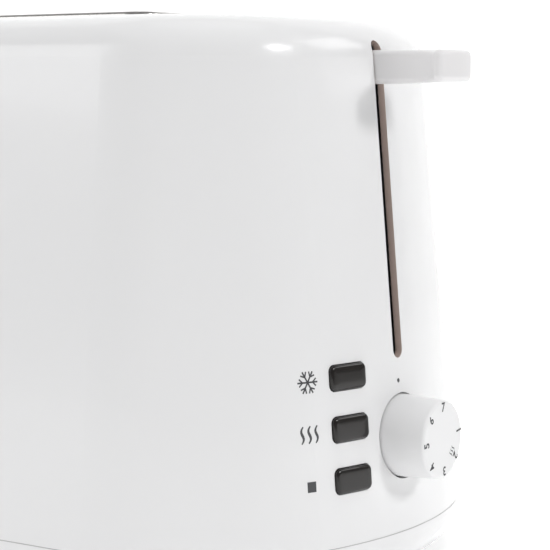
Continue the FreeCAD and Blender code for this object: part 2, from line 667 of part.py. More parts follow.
def lever_handle():
    """A flat neck that opens into a rounded paddle, with a socket for the steel stem."""
    body = new_body("lever_handle")
    neck = new_sketch(body, "XY_Plane", "lever_z - lever_thick / 2")
    sketch_rect(neck, "(lever_root_x + lever_flare_x) / 2", "0", "lever_flare_x - lever_root_x", "lever_neck")
    feature(body, "Pad", neck, "lever_thick")
    paddle = new_sketch(body, "XY_Plane", "lever_z - lever_thick / 2")
    sketch_paddle(paddle)
    feature(body, "Pad", paddle, "lever_thick")
    for level_z, drop in (("lever_z - lever_thick / 2", "lever_low_taper"),
                          ("lever_z + lever_thick / 2", "-lever_high_taper")):
        taper = new_sketch(body, "XZ_Plane", "30")
        sketch_wedge(taper, "lever_flare_x - 14", "lever_tip_x + 1", level_z, drop)
        feature(body, "Pocket", taper, "60")
    fillet(body, "lever_flare_r", lambda edge: is_standing(edge, "lever_flare_x", "lever_neck / 2"))
    fillet(body, "lever_edge_r", lambda edge: is_standing(edge, PADDLE_CORNER_X, "lever_corner_y"))
    fillet(body, "lever_edge_r", is_rim)
    socket = new_sketch(body, "YZ_Plane", "lever_root_x")
    sketch_rect(socket, "0", "lever_z", "stem_thick", "stem_height")
    feature(body, "Pocket", socket, "stem_x - lever_root_x", reverse=True)
    node(body, "lever_handle")


PADDLE_CORNER_X = "lever_tip_x - lever_end_r + sqrt(lever_end_r^2 - lever_corner_y^2)"


def sketch_paddle(sketch):
    """Two sloping sides from the neck's width out to the corners, closed by one end arc."""
    start, half = val("lever_flare_x"), val("lever_neck / 2")
    corner_x, corner_y = val(PADDLE_CORNER_X), val("lever_corner_y")
    end_r = val("lever_end_r")
    centre_x = val("lever_tip_x") - end_r
    angle = math.degrees(math.asin(corner_y / end_r))
    sketch.addGeometry(Part.LineSegment(vec(start, -half), vec(corner_x, -corner_y)))
    sketch.addGeometry(arc((centre_x, 0), end_r, -angle, angle))
    sketch.addGeometry(Part.LineSegment(vec(corner_x, corner_y), vec(start, half)))
    sketch.addGeometry(Part.LineSegment(vec(start, half), vec(start, -half)))
    for i in range(4):
        constrain(sketch, "Coincident", i, 2, (i + 1) % 4, 1)
    constrain(sketch, "Symmetric", 0, 1, 2, 2, -1)
    constrain(sketch, "Symmetric", 1, 1, 1, 2, -1)
    constrain(sketch, "DistanceX", -1, 1, 0, 1, "lever_flare_x")
    constrain(sketch, "DistanceY", 0, 1, 2, 2, "lever_neck")
    constrain(sketch, "DistanceX", -1, 1, 1, 1, PADDLE_CORNER_X)
    constrain(sketch, "DistanceY", 1, 1, 1, 2, "2 * lever_corner_y")
    constrain(sketch, "Radius", 1, "lever_end_r")


def sketch_wedge(sketch, start, end, height, drop):
    """A thin triangle that slopes away from a level line."""
    x0, x1, y0, y1 = val(start), val(end), val(height), val(f"{height} + ({drop})")
    corners = [vec(x0, y0), vec(x1, y0), vec(x1, y1)]
    for i in range(3):
        sketch.addGeometry(Part.LineSegment(corners[i], corners[(i + 1) % 3]))
    for i in range(3):
        constrain(sketch, "Coincident", i, 2, (i + 1) % 3, 1)
    constrain(sketch, "Horizontal", 0)
    constrain(sketch, "Vertical", 1)
    constrain(sketch, "DistanceX", -1, 1, 0, 1, start)
    constrain(sketch, "DistanceX", -1, 1, 0, 2, end)
    constrain(sketch, "DistanceY", -1, 1, 0, 1, height)
    constrain(sketch, "DistanceY", -1, 1, 1, 2, f"{height} + ({drop})")


def is_standing(edge, x, y):
    """Whether an upright edge stands at x and plus or minus y."""
    middle = edge.BoundBox.Center
    return upright(edge) and abs(middle.x - val(x)) < 0.1 and abs(abs(middle.y) - val(y)) < 0.1


def is_rim(edge):
    """Whether an edge bounds the lever's upper or lower face, outside the housing."""
    middle = edge.BoundBox.Center
    flat = edge.BoundBox.ZLength < val("2 * lever_low_taper")
    at_root = abs(middle.x - val("lever_root_x")) < 0.1
    least = val("lever_thick / 2 - lever_low_taper - 0.2")
    return flat and not at_root and abs(middle.z - val("lever_z")) > least


def rod_and_spring():
    height = "chassis_high_z - chassis_low_z - 2 * sheet"
    node(rod("z", "rod_x", "rod_y", "chassis_low_z + sheet", "rod_radius", height), "guide_rod")
    outer = rod("z", "bracket_x + 9", "-rod_y", "keeper_z + 9.5",
                "spring_r", "chassis_high_z - sheet - keeper_z - 9.8")
    inner = rod("z", "bracket_x + 9", "-rod_y", "keeper_z + 9", "spring_r - 0.8", "60")
    node(cut(outer, inner), "lift_spring")


# --- Controls ---------------------------------------------------------------------------------------

def control_board():
    """The upright circuit board with the magnet, the mains contacts and the rotary control on it."""
    board = box("board_x", "-38", "8.5", "1.6", "76", "58")
    node(board, "control_board")
    core = box("98", "rod_y - 4", "18", "board_x - 98", "18", "2.4")
    post = rod("z", "103.5", "rod_y + 5", "20.4", "3", "keeper_z - travel - 20.7")
    node(fuse(core, post), "magnet_core")
    coil = rod("z", "103.5", "rod_y + 5", "20.4", "5.4", "9")
    node(cut(coil, rod("z", "103.5", "rod_y + 5", "20", "3", "12")), "magnet_coil")
    node(box("99", "-28", "12", "board_x - 99", "12", "18"), "mains_switch")
    case = rod("x", "board_x + 1.6", "0", "knob_z", "8.5", "7")
    bush = rod("x", "board_x + 8.6", "0", "knob_z", "4.5", "5")
    bore = rod("x", "board_x + 3", "0", "knob_z", "3.05", "12")
    node(cut(fuse(case, bush), bore), "browning_pot")
    node(rod("x", "board_x + 3.4", "0", "knob_z", "3", "knob_outer_x - 5 - board_x - 3.4"), "pot_shaft")


def browning_knob():
    """A hollow tapered knob with a hub for the shaft, turned about its own axis."""
    body = new_body("browning_knob")
    half = new_sketch(body, "XZ_Plane")
    outer_x, inner_x, z = "knob_outer_x", "knob_inner_x", "knob_z"
    points = [
        (inner_x, "5"), (f"{outer_x} - 3", "5"), (f"{outer_x} - 3", "knob_face_r - 2"),
        (inner_x, "knob_base_r - 2"), (inner_x, "knob_base_r"), (outer_x, "knob_face_r"),
        (outer_x, "0"), (f"{outer_x} - 5", "0"), (f"{outer_x} - 5", "3"), (inner_x, "3"),
    ]
    corners = [vec(val(x), val(f"{z} + ({r})")) for x, r in points]
    count = len(corners)
    for i in range(count):
        half.addGeometry(Part.LineSegment(corners[i], corners[(i + 1) % count]))
    for i in range(count):
        constrain(half, "Coincident", i, 2, (i + 1) % count, 1)
        constrain(half, "DistanceX", -1, 1, i, 1, points[i][0])
        constrain(half, "DistanceY", -1, 1, i, 1, f"{z} + ({points[i][1]})")
    axis = half.addGeometry(Part.LineSegment(vec(0, val(z)), vec(200, val(z))), True)
    constrain(half, "Horizontal", axis)
    constrain(half, "DistanceY", -1, 1, axis, 1, z)
    turn = body.newObject("PartDesign::Revolution", "KnobTurn")
    turn.Profile = half
    turn.ReferenceAxis = (half, ["Axis0"])
    turn.Angle = 360
    doc.recompute()
    face_x = val(outer_x)
    rim_r = val("knob_face_r")
    fillet(body, "1.2", lambda edge: abs(edge.BoundBox.XMin - face_x) < 1e-3
           and abs(edge.BoundBox.ZLength - 2 * rim_r) < 0.01)
    node(body, "browning_knob")


def in_button_frame(obj):
    """Turns a sub-part from the button frame to its place in the housing."""
    obj.Placement = button_frame()
    return obj


def buttons():
    """Each cap has a flange that holds it behind its window and a stem that presses its switch."""
    for label, rise in BUTTONS:
        body = new_body(label)
        cap = new_sketch(body, "XY_Plane", "-3.2")
        sketch_rect(cap, "0", rise, "button_w", "button_h")
        feature(body, "Pad", cap, "button_proud + 3.2")
        fillet(body, "button_r", upright)
        fillet(body, "0.7", level("button_proud"))
        flange = new_sketch(body, "XY_Plane", "-4.4")
        sketch_rect(flange, "0", rise, "button_w + 2.6", "button_h + 2.6")
        feature(body, "Pad", flange, "1.2")
        stem = new_sketch(body, "XY_Plane", "-9")
        sketch_circle(stem, "0", rise, "2")
        feature(body, "Pad", stem, "4.6")
        node(in_button_frame(body), label)
    guide = box("-12", "-27", "-8.2", "24", "54", "1.2")
    sides = [box(f"{x}", "-27", "-15", "1.2", "54", "6.8") for x in (-12, 10.8)]
    holes = [rod("z", "0", rise, "-9", "2.3", "3") for _, rise in BUTTONS]
    node(in_button_frame(cut(fuse(guide, *sides), *holes)), "button_guide")
    node(in_button_frame(group(box("-13", "-28", "-16.6", "26", "56", "1.6"))), "button_board")
    switches = [fuse(box("-3", f"{rise} - 3", "-15", "6", "6", "2.6"),
                     rod("z", "0", rise, "-12.4", "1.7", "0.9")) for _, rise in BUTTONS]
    node(in_button_frame(group(*switches)), "tact_switches")


# --- Warming rack and mains entry -------------------------------------------------------------------

def warming_racks():
    """Two bent wires that lie in the top opening, each clipped into two open blocks on the slot frame."""
    blocks = []
    for side, label in ((-1, "warming_rack_front"), (1, "warming_rack_rear")):
        body = new_body(label)
        path = new_sketch(body, "XY_Plane", "wire_z")
        sketch_bracket(path, side)
        ring = new_sketch(body, "YZ_Plane", "-pivot_x")
        sketch_circle(ring, f"{side} * pivot_y", "wire_z", "wire_r")
        pipe = body.newObject("PartDesign::AdditivePipe", label.title().replace("_", "") + "Pipe")
        pipe.Profile = ring
        pipe.Spine = (path, [f"Edge{i}" for i in range(1, 10)])
        pipe.Mode = "Frenet"
        pipe.Transition = "Transformed"
        doc.recompute()
        node(body, label)
        for end in (-1, 1):
            low_x = f"{end} * (wire_x + 3.4) - 1.2"
            low_y = f"{side} * pivot_y - 3.5"
            block = box(low_x, low_y, "frame_z + frame_sheet",
                        "2.4", "7", "wire_z + 0.6 - frame_z - frame_sheet")
            bore = rod("x", f"{low_x} - 1", f"{side} * pivot_y", "wire_z", "wire_r + 0.08", "6")
            blocks.append(cut(block, bore))
    node(group(*blocks), "warming_rack_bearings")


def sketch_bracket(sketch, side):
    """The wire's centre line: pivot, leg, long bar, leg, pivot, with round bends."""
    end_x, leg_x = val("pivot_x"), val("wire_x")
    low_y, high_y = side * val("pivot_y"), side * val("wire_y")
    small, large = 2.4, 7
    half = [
        Part.LineSegment(vec(-end_x, low_y), vec(-leg_x - small, low_y)),
        bend((-leg_x - small, low_y), (-leg_x, low_y), (-leg_x, low_y + side * small), small),
        Part.LineSegment(vec(-leg_x, low_y + side * small), vec(-leg_x, high_y - side * large)),
        bend((-leg_x, high_y - side * large), (-leg_x, high_y), (-leg_x + large, high_y), large),
    ]
    for item in half:
        sketch.addGeometry(item)
    sketch.addGeometry(Part.LineSegment(vec(-leg_x + large, high_y), vec(leg_x - large, high_y)))
    for item in reversed(half):
        sketch.addGeometry(mirrored(item))
    constrain(sketch, "DistanceX", 4, 1, 4, 2, f"2 * wire_x - {2 * large}")


def bend(start, corner, end, radius):
    """The quarter circle that rounds a square corner."""
    toward = vec(*corner) * 2 - vec(*start) - vec(*end)
    centre = vec(*start) + vec(*end) - vec(*corner)
    middle = centre + toward.normalize() * radius
    return Part.Arc(vec(*start), middle, vec(*end))


def mirrored(item):
    """The same line or arc on the other side of the middle, run the other way."""
    points = [item.value(item.LastParameter), item.value((item.FirstParameter + item.LastParameter) / 2),
              item.value(item.FirstParameter)]
    flipped = [vec(-point.x, point.y) for point in points]
    if item.TypeId == "Part::GeomLineSegment":
        return Part.LineSegment(flipped[0], flipped[2])
    return Part.Arc(*flipped)


def mains_entry():
    """The bush in the rear wall for the mains lead, and the block that its wires would meet."""
    flange = rod("y", "0", "0", "0", "gland_bore_r + 4", "1.2")
    barrel = rod("y", "0", "-9", "0", "gland_bore_r + 1.3", "9.5")
    gland = cut(fuse(flange, barrel), rod("y", "0", "-10", "0", "gland_bore_r", "14"))
    wall_y = "half_width - (gland_z - seam_z) * tan(draft)"
    gland.Placement = FreeCAD.Placement(vec(0, 0), FreeCAD.Rotation(vec(1, 0, 0), val("draft")))
    node(bind_place(gland, "gland_x", wall_y, "gland_z"), "cord_gland")
    node(box("-112", "-18", "pan_bottom + wall", "14", "36", "15"), "terminal_block")


# --- Build, check and write -------------------------------------------------------------------------

STEPS = (housing_shell, base_pan, feet_and_screws, crumb_tray, slot_frame, end_plates, reflectors, heaters,
         bread_guides, carriage, lever_handle, rod_and_spring, control_board, browning_knob, buttons,
         warming_racks, mains_entry)


def main():
    for step in STEPS:
        step()
    doc.recompute()
    for obj in doc.Objects:
        if "Invalid" in obj.State or "Error" in obj.State:
            raise ValueError(f"{obj.Label} is {obj.State}")
    for obj in NODES:
        if obj.Shape.isNull() or not obj.Shape.isValid() or obj.Shape.Volume < 1:
            raise ValueError(f"{obj.Label} has no valid solid")
    os.makedirs("parts", exist_ok=True)
    for obj in NODES:
        obj.Shape.exportStep(f"parts/{obj.Label}.step")
        box_ = obj.Shape.BoundBox
        print(f"{obj.Label:26s} {len(obj.Shape.Solids):3d} solids {obj.Shape.Volume / 1000:8.2f} cm3 "
              f"x {box_.XMin:7.1f} {box_.XMax:7.1f} y {box_.YMin:6.1f} {box_.YMax:6.1f} "
              f"z {box_.ZMin:6.1f} {box_.ZMax:6.1f}")
    print(len(NODES), "nodes")


main()
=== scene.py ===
"""The looks of the two-slot pop up toaster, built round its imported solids."""
import json
import math

import bmesh
import bpy
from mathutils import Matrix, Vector
from mathutils.bvhtree import BVHTree


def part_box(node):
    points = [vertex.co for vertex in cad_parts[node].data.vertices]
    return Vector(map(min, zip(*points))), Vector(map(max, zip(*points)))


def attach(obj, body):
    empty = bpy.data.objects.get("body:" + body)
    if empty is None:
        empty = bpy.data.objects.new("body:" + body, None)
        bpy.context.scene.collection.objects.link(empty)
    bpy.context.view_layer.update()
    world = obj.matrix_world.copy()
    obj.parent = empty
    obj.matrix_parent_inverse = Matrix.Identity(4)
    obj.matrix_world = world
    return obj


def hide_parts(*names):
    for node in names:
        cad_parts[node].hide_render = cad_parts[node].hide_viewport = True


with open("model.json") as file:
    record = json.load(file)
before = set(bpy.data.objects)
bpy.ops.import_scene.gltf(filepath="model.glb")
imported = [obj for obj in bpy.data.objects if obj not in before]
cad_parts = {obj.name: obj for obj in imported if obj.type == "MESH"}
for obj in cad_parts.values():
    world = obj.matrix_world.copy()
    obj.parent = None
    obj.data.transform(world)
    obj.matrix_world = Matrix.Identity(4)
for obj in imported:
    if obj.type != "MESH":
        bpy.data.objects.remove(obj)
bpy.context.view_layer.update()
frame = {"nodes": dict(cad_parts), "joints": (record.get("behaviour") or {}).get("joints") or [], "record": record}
nodes = frame["nodes"]
scene = bpy.context.scene
MM = 0.001


# --- Materials --------------------------------------------------------------------------------------

IOR = 1.5
COAT_ROUGH = 0.05
SKIN_SCALE = 900                # cycles per metre of the texture on plastic
GRAIN_SCALE = 400               # and of the grain of metal
WHITE = (0.78, 0.78, 0.785)
# Painted shade: the darker warm grey of the walls inside the lever slot.
SLOT_SHADE_COLOR = (0.62, 0.5, 0.45)
LEVER_SLOT = ((0.11, 0.2), (-0.00294, 0.00294), (0.074, 0.184))    # limits in X, Y and Z, in metres
SLOT_SHADE_NORMAL_X = (-0.5, 0.5)      # leaves out the two faces of the end wall


def material(name, color, rough, metal=0.0, coat=0.0, spec=0.5):
    """A Principled surface; returns its tree and shader so that detail can be added."""
    made = bpy.data.materials.new(name)
    made.use_nodes = True
    tree = made.node_tree
    shader = tree.nodes["Principled BSDF"]
    shader.inputs["Base Color"].default_value = (*color, 1)
    shader.inputs["Roughness"].default_value = rough
    shader.inputs["Metallic"].default_value = metal
    shader.inputs["Coat Weight"].default_value = coat
    shader.inputs["Coat Roughness"].default_value = COAT_ROUGH
    shader.inputs["IOR"].default_value = IOR
    shader.inputs["Specular IOR Level"].default_value = spec
    return made, tree, shader


def noise(tree, scale, stretch=(1, 1, 1), detail=4):
    """A noise texture in object space; its scale is in cycles per metre."""
    coords = tree.nodes.new("ShaderNodeTexCoord")
    mapping = tree.nodes.new("ShaderNodeMapping")
    mapping.inputs["Scale"].default_value = stretch
    texture = tree.nodes.new("ShaderNodeTexNoise")
    texture.inputs["Scale"].default_value = scale
    texture.inputs["Detail"].default_value = detail
    tree.links.new(coords.outputs["Object"], mapping.inputs["Vector"])
    tree.links.new(mapping.outputs["Vector"], texture.inputs["Vector"])
    return texture.outputs["Fac"]


def vary(tree, source, socket, low, high):
    """Drives a socket between two values by a texture."""
    ramp = tree.nodes.new("ShaderNodeMapRange")
    ramp.inputs["To Min"].default_value = low
    ramp.inputs["To Max"].default_value = high
    tree.links.new(source, ramp.inputs["Value"])
    tree.links.new(ramp.outputs["Result"], socket)


def tint(tree, source, socket, first, second):
    """Mixes two colours by a texture."""
    mix = tree.nodes.new("ShaderNodeMix")
    mix.data_type = "RGBA"
    mix.inputs["A"].default_value = (*first, 1)
    mix.inputs["B"].default_value = (*second, 1)
    tree.links.new(source, mix.inputs["Factor"])
    tree.links.new(mix.outputs["Result"], socket)


def bump(tree, source, shader, strength, distance):
    """Relief from a texture, in metres."""
    relief = tree.nodes.new("ShaderNodeBump")
    relief.inputs["Strength"].default_value = strength
    relief.inputs["Distance"].default_value = distance
    tree.links.new(source, relief.inputs["Height"])
    tree.links.new(relief.outputs["Normal"], shader.inputs["Normal"])


def plastic(name, color, rough, coat=0.0, wave=0.00001):
    """Moulded plastic with a faint skin texture."""
    made, tree, shader = material(name, color, rough, coat=coat)
    skin = noise(tree, SKIN_SCALE)
    vary(tree, skin, shader.inputs["Roughness"], rough * 0.9, rough * 1.15)
    bump(tree, skin, shader, 0.15, wave)
    return made


def metal(name, color, rough, stretch=(1, 1, 1)):
    """Bare metal with a rolled or drawn grain."""
    made, tree, shader = material(name, color, rough, metal=1.0)
    grain = noise(tree, GRAIN_SCALE, stretch)
    vary(tree, grain, shader.inputs["Roughness"], rough * 0.75, rough * 1.3)
    tint(tree, grain, shader.inputs["Base Color"], [c * 0.9 for c in color], color)
    bump(tree, grain, shader, 0.2, 0.00002)
    return made


def speckled(name, first, second, rough, scale):
    """Board material with cloudy colour."""
    made, tree, shader = material(name, first, rough)
    cloud = noise(tree, scale, detail=8)
    tint(tree, cloud, shader.inputs["Base Color"], first, second)
    bump(tree, cloud, shader, 0.3, 0.00005)
    return made


def maths(tree, operation, first, second):
    """A maths node on two inputs, each of them a socket or a number."""
    node = tree.nodes.new("ShaderNodeMath")
    node.operation = operation
    for socket, value in zip(node.inputs, (first, second)):
        if isinstance(value, bpy.types.NodeSocket):
            tree.links.new(value, socket)
        else:
            socket.default_value = value
    return node.outputs[0]


def between(tree, value, low, high):
    """One where a value lies between two limits, zero elsewhere."""
    above = maths(tree, "GREATER_THAN", value, low)
    below = maths(tree, "LESS_THAN", value, high)
    return maths(tree, "MULTIPLY", above, below)


def shell_plastic():
    """Glossy white plastic, with painted shade: the walls inside the lever slot are a darker, warmer grey."""
    made = plastic("white_shell", WHITE, 0.2, coat=0.3)
    tree = made.node_tree
    coords = tree.nodes.new("ShaderNodeTexCoord")
    place = tree.nodes.new("ShaderNodeSeparateXYZ")
    tree.links.new(coords.outputs["Object"], place.inputs[0])
    turn = tree.nodes.new("ShaderNodeSeparateXYZ")
    tree.links.new(coords.outputs["Normal"], turn.inputs[0])
    # Painted shade: the slot's side walls, found by place and by normal, are tinted a darker warm grey.
    slot_shade_mask = between(tree, turn.outputs[0], *SLOT_SHADE_NORMAL_X)
    for axis, limits in zip(place.outputs, LEVER_SLOT):
        slot_shade_mask = maths(tree, "MULTIPLY", slot_shade_mask, between(tree, axis, *limits))
    tint(tree, slot_shade_mask, tree.nodes["Principled BSDF"].inputs["Base Color"], WHITE, SLOT_SHADE_COLOR)
    return made


materials = {
    "white_shell": shell_plastic(),
    "white_lever": plastic("white_lever", (0.74, 0.73, 0.735), 0.35),
    "white_knob": plastic("white_knob", WHITE, 0.35),
    "black_button": plastic("black_button", (0.009, 0.007, 0.006), 0.12, coat=0.05),
    "rubber": plastic("rubber", (0.03, 0.03, 0.03), 0.75, wave=0.0001),
    "steel_sheet": metal("steel_sheet", (0.55, 0.55, 0.54), 0.38, (1, 1, 12)),
    "bright_steel": metal("bright_steel", (0.68, 0.67, 0.65), 0.25, (1, 14, 14)),
    "steel_wire": metal("steel_wire", (0.6, 0.59, 0.57), 0.3, (10, 10, 10)),
    "reflector": metal("reflector", (0.7, 0.7, 0.69), 0.22, (1, 1, 10)),
    "mica": speckled("mica", (0.55, 0.47, 0.34), (0.7, 0.62, 0.5), 0.5, 60),
    "ribbon": metal("ribbon", (0.3, 0.27, 0.25), 0.45, (20, 1, 1)),
    "zinc_screw": metal("zinc_screw", (0.5, 0.51, 0.53), 0.32),
    "circuit_board": speckled("circuit_board", (0.34, 0.22, 0.08), (0.42, 0.29, 0.12), 0.45, 220),
    "dark_plastic": plastic("dark_plastic", (0.03, 0.03, 0.033), 0.5),
    "copper": metal("copper", (0.62, 0.28, 0.13), 0.3, (1, 1, 60)),
    "iron": metal("iron", (0.3, 0.3, 0.31), 0.5),
    "grey_plastic": plastic("grey_plastic", (0.35, 0.35, 0.36), 0.5),
}
# Finishes of the printed marks, and the painted shadow in the seam: the record's slot that each counts as, and its
# colour.
INKS_AND_SEAM_SHADE = {
    "print_ink": ("dark_plastic", (0.06, 0.06, 0.065)),
    "dial_ink": ("dark_plastic", (0.05, 0.05, 0.055)),
    # Painted shadow: the grey of the strip that stands for the shade in the seam.
    "seam_shadow": ("dark_plastic", (0.42, 0.42, 0.42)),
}
# Materials for the inks, and for the seam's painted shadow.
for ink, (_, shade) in INKS_AND_SEAM_SHADE.items():
    materials[ink] = plastic(ink, shade, 0.55)
for part in frame["record"]["subparts"]:
    mesh = nodes[part["node"]].data
    mesh.materials.clear()
    mesh.materials.append(materials[part["material_slot"]])


# --- Pieces made here -------------------------------------------------------------------------------

UP = Vector((0, 0, 1))
RAY_START = 60 * MM             # how far outside the wall a search for its surface begins

# Printed marks: how far the ink stands out and reaches in, and the walls' turns from the front.
INK_LIFT = 0.04 * MM
INK_DEPTH = 0.06 * MM
END_FACING = 77.8
MARK_FACING = 69.5
MARK_DROP = 0.4 * MM            # below the middle of the button beside it

# Button caps: depths are measured inwards from the cap's face.
CAP_SIDE = 1.6 * MM             # the stretch of the plain button that its outline is taken from
CAP_CORNER = 2 * MM
CAP_LEAST_CORNER = 0.3 * MM
CAP_CORNER_SHRINK = 0.85        # of the inset, so that the corners stay a little rounder
CAP_BEVEL = 1.15 * MM
CAP_BEVEL_DEPTH = 0.85 * MM
CAP_CROWN = 0.05 * MM
CAP_CROWN_REACH = 0.6           # of the way from the bevel to the middle
FLANGE_WIDTH = 1.3 * MM
FLANGE_TOP = 4.3 * MM
FLANGE_BASE = 5.5 * MM
STEM_RADIUS = 2 * MM
STEM_START = 5.4 * MM
STEM_END = 10.1 * MM
STEM_CHAMFER = 0.3 * MM

# The dial: digits in mm, places as shares of the knob's radius, turns clockwise from the top.
DIGIT_HEIGHT = 3.2
DIGIT_STRETCH = 0.95
DIGIT_BOLD = 0.02
DIGIT_COUNT = 7
DIGIT_STEP = 46.5
DIGIT_PLACE = 0.77
DIAL_MARK_SCALE = 0.42
DIAL_MARK_PLACE = 0.55

# The dot above the knob, and the painted shadow line in the seam.
DOT_SIDE = -0.9 * MM
DOT_RISE = 18.7 * MM
DOT_RADIUS = 0.75 * MM
DOT_INNER = 0.3 * MM
SEAM_RISE = 0.25 * MM
SEAM_HEIGHT = 0.3 * MM
SEAM_PROUD = 0.03 * MM
SEAM_DEPTH = 0.3 * MM
SEAM_REACH = 150 * MM           # from the middle; the search for the wall starts RAY_START beyond it

knob_low, knob_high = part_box("browning_knob")
knob_x, knob_z = knob_high[0], (knob_low[2] + knob_high[2]) / 2
knob_r = (knob_high[2] - knob_low[2]) / 2

shell = BVHTree.FromPolygons([v.co for v in nodes["housing_shell"].data.vertices],
                             [tuple(p.vertices) for p in nodes["housing_shell"].data.polygons])


def facing(turn):
    """Outward and sideways directions of a wall, by its turn from the front in degrees."""
    angle = math.radians(turn)
    return Vector((math.sin(angle), -math.cos(angle), 0)), Vector((math.cos(angle), math.sin(angle), 0))


def on_shell(place, out, lift):
    """The housing's surface in line with a point, raised by a small lift."""
    hit, normal, _, _ = shell.ray_cast(place + out * RAY_START, -out)
    return hit + (normal if normal.dot(out) > 0 else -normal) * lift


def add(name, mesh, slot_name, body, smooth=True):
    """Puts a finished mesh in the scene with its finish and the body that it rides on."""
    obj = bpy.data.objects.new(name, mesh)
    scene.collection.objects.link(obj)
    mesh.materials.append(materials[slot_name])
    for face in mesh.polygons:
        face.use_smooth = smooth
    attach(obj, body)
    return obj


def loft(bm, rings, closed=False):
    """Skins a row of equal rings; an open row gets a face at each end."""
    made = [[bm.verts.new(point) for point in ring] for ring in rings]
    count = len(made[0])
    pairs = list(zip(made, made[1:])) + ([(made[-1], made[0])] if closed else [])
    for first, second in pairs:
        for i in range(count):
            j = (i + 1) % count
            bm.faces.new((first[i], first[j], second[j], second[i]))
    if not closed:
        bm.faces.new(reversed(made[0]))
        bm.faces.new(made[-1])


def finished(bm, name):
    """Turns a working mesh into a finished one with its faces outward."""
    bmesh.ops.recalc_face_normals(bm, faces=bm.faces)
    mesh = bpy.data.meshes.new(name)
    bm.to_mesh(mesh)
    bm.free()
    return mesh


def stroke(bm, line, widths, place):
    """A printed line of ink: points in mm on the mark, and its width at each."""
    rings = []
    for i, (x, y) in enumerate(line):
        before, after = line[max(i - 1, 0)], line[min(i + 1, len(line) - 1)]
        run = Vector((after[0] - before[0], after[1] - before[1])).normalized() * widths[i] / 2
        rings.append([place(x - run.y, y + run.x, INK_LIFT), place(x + run.y, y - run.x, INK_LIFT),
                      place(x + run.y, y - run.x, -INK_DEPTH), place(x - run.y, y + run.x, -INK_DEPTH)])
    loft(bm, rings)


def segment(start, end, count=8):
    """Evenly spaced points along a straight line."""
    run, rise = end[0] - start[0], end[1] - start[1]
    return [(start[0] + run * i / count, start[1] + rise * i / count) for i in range(count + 1)]


def circle(count=24):
    """The cosine and sine of each turn round a circle."""
    turns = (2 * math.pi * k / count for k in range(count))
    return [(math.cos(turn), math.sin(turn)) for turn in turns]


def straight(bm, start, end, width, place, count=8):
    """A straight line of ink of one width."""
    stroke(bm, segment(start, end, count), [width] * (count + 1), place)


def snowflake(bm, place, reach=4.0, width=0.55):
    """Six arms, each with a pair of barbs."""
    fork, barb_reach, barb_lean, barb_width = 0.5, 0.46 * reach, 43, 0.9 * width
    for arm in range(6):
        angle = math.radians(60 * arm)
        tip = (reach * math.cos(angle), reach * math.sin(angle))
        straight(bm, (0, 0), tip, width, place)
        start = (fork * tip[0], fork * tip[1])
        for side in (-1, 1):
            lean = angle + math.radians(barb_lean * side)
            end = (start[0] + barb_reach * math.cos(lean), start[1] + barb_reach * math.sin(lean))
            straight(bm, start, end, barb_width, place, 4)


def heat_waves(bm, place, height=5.6, pitch=2.8, width=0.95):
    """Three rising S-shaped lines, thinner towards their ends."""
    steps, sway, slant, end_width = 24, 0.62, 0.8, 0.45
    for column in (-1, 0, 1):
        line, widths = [], []
        for i in range(steps + 1):
            t = i / steps
            shift = sway * math.sin(2 * math.pi * t) + slant * (t - 0.5)
            line.append((column * pitch + shift, height * (t - 0.5)))
            widths.append(width * (end_width + (1 - end_width) * math.sin(math.pi * t)))
        stroke(bm, line, widths, place)


def stop_square(bm, place, side=3.4):
    """A plain filled square, the usual symbol for stop, in place of any wording."""
    straight(bm, (-side / 2, 0), (side / 2, 0), side, place)


def digit(label):
    """A number in plain type, as a thin closed solid in mm with its middle at the origin."""
    curve = bpy.data.curves.new("type", "FONT")
    curve.body = label
    curve.size = 1
    curve.offset = DIGIT_BOLD
    curve.extrude = 0.02
    curve.resolution_u = 4
    obj = bpy.data.objects.new("type", curve)
    scene.collection.objects.link(obj)
    made = bpy.data.meshes.new_from_object(obj.evaluated_get(bpy.context.evaluated_depsgraph_get()))
    bpy.data.objects.remove(obj)
    bpy.data.curves.remove(curve)
    bm = bmesh.new()
    bm.from_mesh(made)
    bpy.data.meshes.remove(made)
    bmesh.ops.remove_doubles(bm, verts=bm.verts, dist=0.0005)
    low = [min(v.co[k] for v in bm.verts) for k in (0, 1)]
    high = [max(v.co[k] for v in bm.verts) for k in (0, 1)]
    grow = DIGIT_HEIGHT / (high[1] - low[1])
    for vert in bm.verts:
        vert.co = ((vert.co.x - (low[0] + high[0]) / 2) * grow * DIGIT_STRETCH,
                   (vert.co.y - (low[1] + high[1]) / 2) * grow, vert.co.z)
    return bm


def rounded(width, height, radius, steps=6):
    """Points round a rectangle with round corners, counterclockwise."""
    points = []
    for corner in range(4):
        cx = (width / 2 - radius) * (1 if corner in (0, 3) else -1)
        cy = (height / 2 - radius) * (1 if corner in (0, 1) else -1)
        for i in range(steps + 1):
            angle = math.radians(90 * corner + 90 * i / steps)
            points.append((cx + radius * math.cos(angle), cy + radius * math.sin(angle)))
    return points


